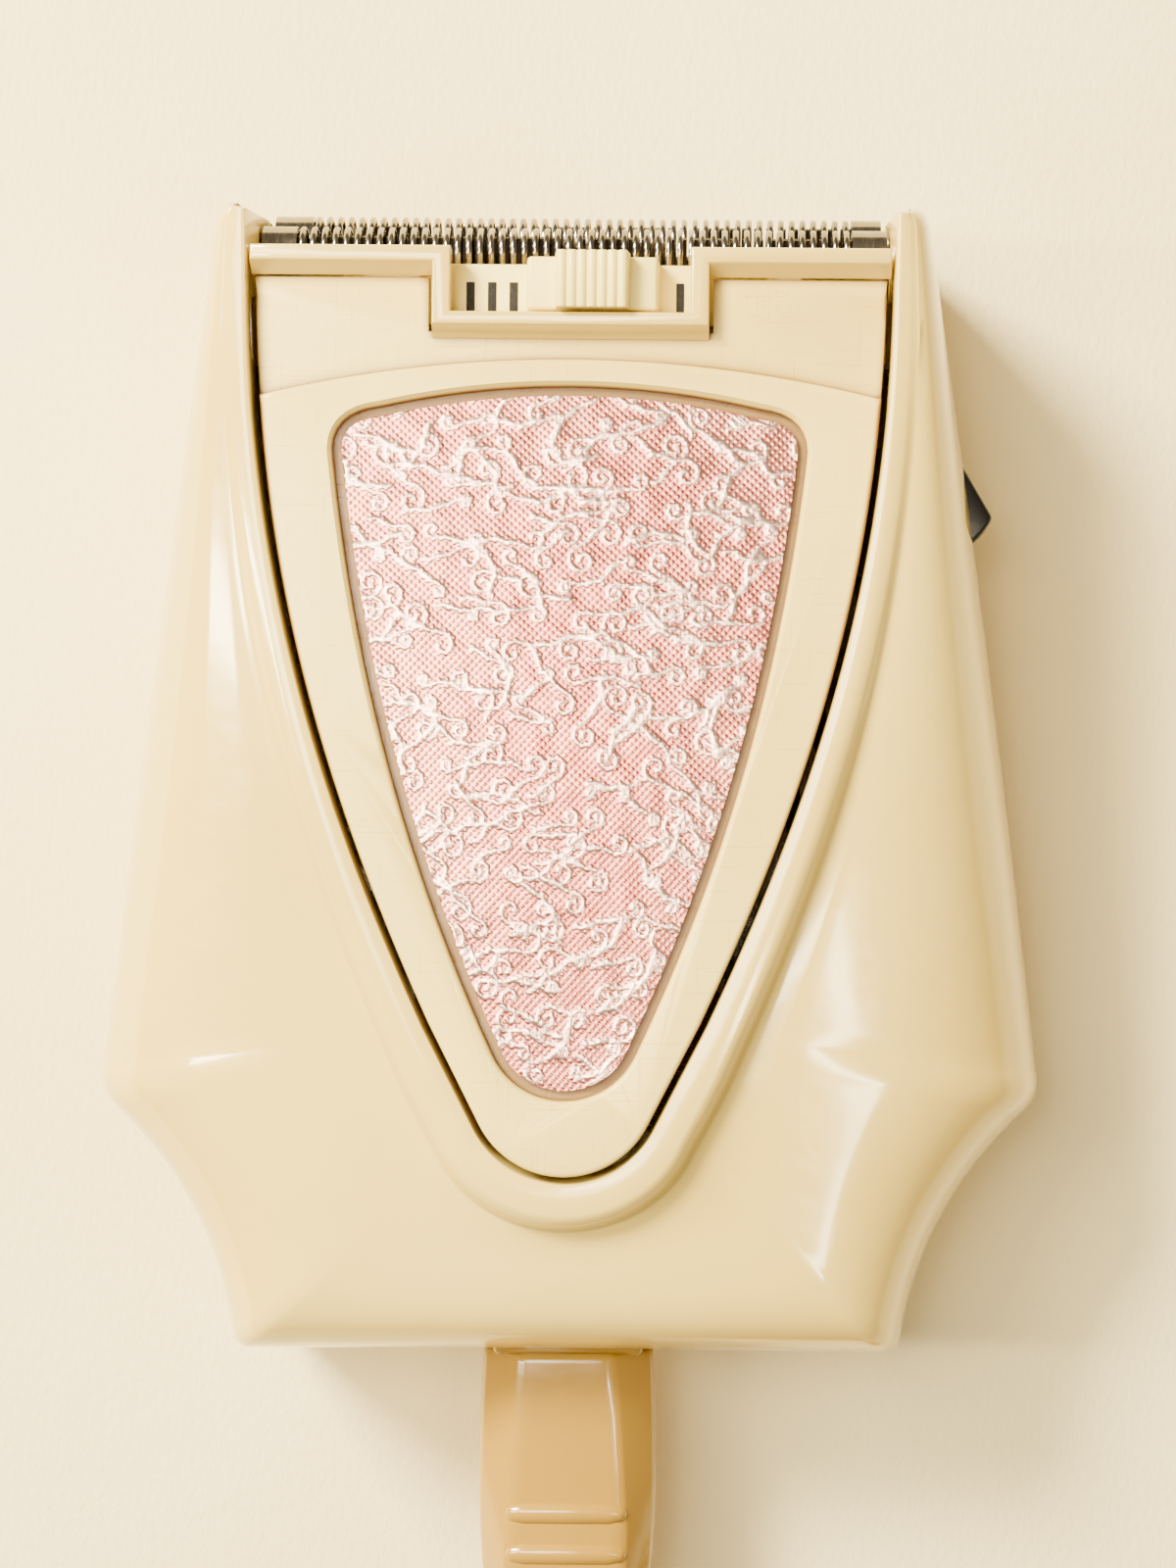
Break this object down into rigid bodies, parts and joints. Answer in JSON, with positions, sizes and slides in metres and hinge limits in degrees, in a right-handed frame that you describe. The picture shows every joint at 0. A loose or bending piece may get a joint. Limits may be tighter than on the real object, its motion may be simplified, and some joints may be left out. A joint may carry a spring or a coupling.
{
  "type": "electric shaver",
  "caption": "Flat mains shaver with a tapered winged body, V-shaped shield, twin slotted combs, selector slide, rocker switch and plug-in cord.",
  "frame": {"origin": "middle of the body's footprint without the cord set, on the surface that the back rests on", "axes": "+Z out of the front face, +Y towards the cutting head, +X to the right as the front face is seen with the head at the top"},
  "size_m": [0.0988, 0.2345, 0.0324],
  "materials": {
    "ivory_plastic": "polished, lightly worn",
    "shield_plastic": "smooth, lightly worn",
    "inlay_foil": "rose foil, embossed",
    "steel": "ground",
    "laminated_iron": "stacked sheets",
    "copper_winding": null,
    "brass": "plain",
    "black_plastic": "smooth",
    "wire_sleeve": "matt",
    "phenolic": "moulded",
    "pale_core": "moulded",
    "tan_plastic": "moulded",
    "tan_cord": "smooth sleeve"
  },
  "bodies": {
    "housing": {"front_shell": "ivory_plastic", "back_shell": "ivory_plastic", "head_frame": "ivory_plastic", "shield_panel": "shield_plastic", "foil_inlay": "inlay_foil", "housing_screw_1": "steel", "housing_screw_2": "steel", "housing_screw_3": "steel", "housing_screw_4": "steel", "comb_tray": "steel", "front_comb": "steel", "rear_comb": "steel", "front_left_leaf_spring": "steel", "front_right_leaf_spring": "steel", "rear_left_leaf_spring": "steel", "rear_right_leaf_spring": "steel", "detent_spring": "steel", "motor_bracket": "steel", "bracket_screw_left": "steel", "bracket_screw_right": "steel", "pivot_pin": "steel", "left_return_spring": "steel", "right_return_spring": "steel", "rocker_pin": "steel", "motor_core": "laminated_iron", "left_coil": "copper_winding", "right_coil": "copper_winding", "fixed_contact": "brass", "spring_contact": "brass", "inlet_pin_left": "brass", "inlet_pin_right": "brass", "connector_sleeve_left": "brass", "connector_sleeve_right": "brass", "plug_blade_left": "brass", "plug_blade_right": "brass", "cord_tie": "black_plastic", "wire_inlet_to_switch": "wire_sleeve", "wire_switch_to_coil": "wire_sleeve", "wire_inlet_to_coil": "wire_sleeve", "switch_frame": "phenolic", "inlet_block": "phenolic", "left_bobbin": "pale_core", "right_bobbin": "pale_core", "connector_body": "tan_plastic", "connector_relief": "tan_plastic", "plug_body": "tan_plastic", "plug_relief": "tan_plastic", "cord_lead": "tan_cord", "cord_coil": "tan_cord", "cord_tail": "tan_cord"},
    "drive": {"drive_lever": "phenolic", "armature": "laminated_iron", "lever_bushing": "brass"},
    "cutter_carriage": {"front_cutter": "steel", "rear_cutter": "steel", "cutter_carrier": "pale_core"},
    "selector": {"selector_slide": "shield_plastic"},
    "switch_rocker": {"rocker": "black_plastic"}
  },
  "joints": [
    {"name": "drive_hinge", "type": "hinge", "parent": "housing", "child": "drive", "pos_m": [0, -0.0002, 0.014], "axis": [0, 0, 1], "range_deg": [-1.4, 1.4], "stiffness_Nm_per_rad": 0.1},
    {"name": "cutter_slide", "type": "slide", "parent": "housing", "child": "cutter_carriage", "axis": [1, 0, 0], "range_m": [-0.001, 0.001]},
    {"name": "selector_travel", "type": "slide", "parent": "housing", "child": "selector", "axis": [1, 0, 0], "range_m": [-0.0064, 0.0024]},
    {"name": "rocker_hinge", "type": "hinge", "parent": "housing", "child": "switch_rocker", "pos_m": [0.03109, 0.02728, 0.014], "axis": [0, 0, 1], "range_deg": [-22.6, 0]}
  ],
  "couplings": [
    {"joint": "drive_hinge", "follows": "cutter_slide", "rad_per_m": -23.809}
  ]
}
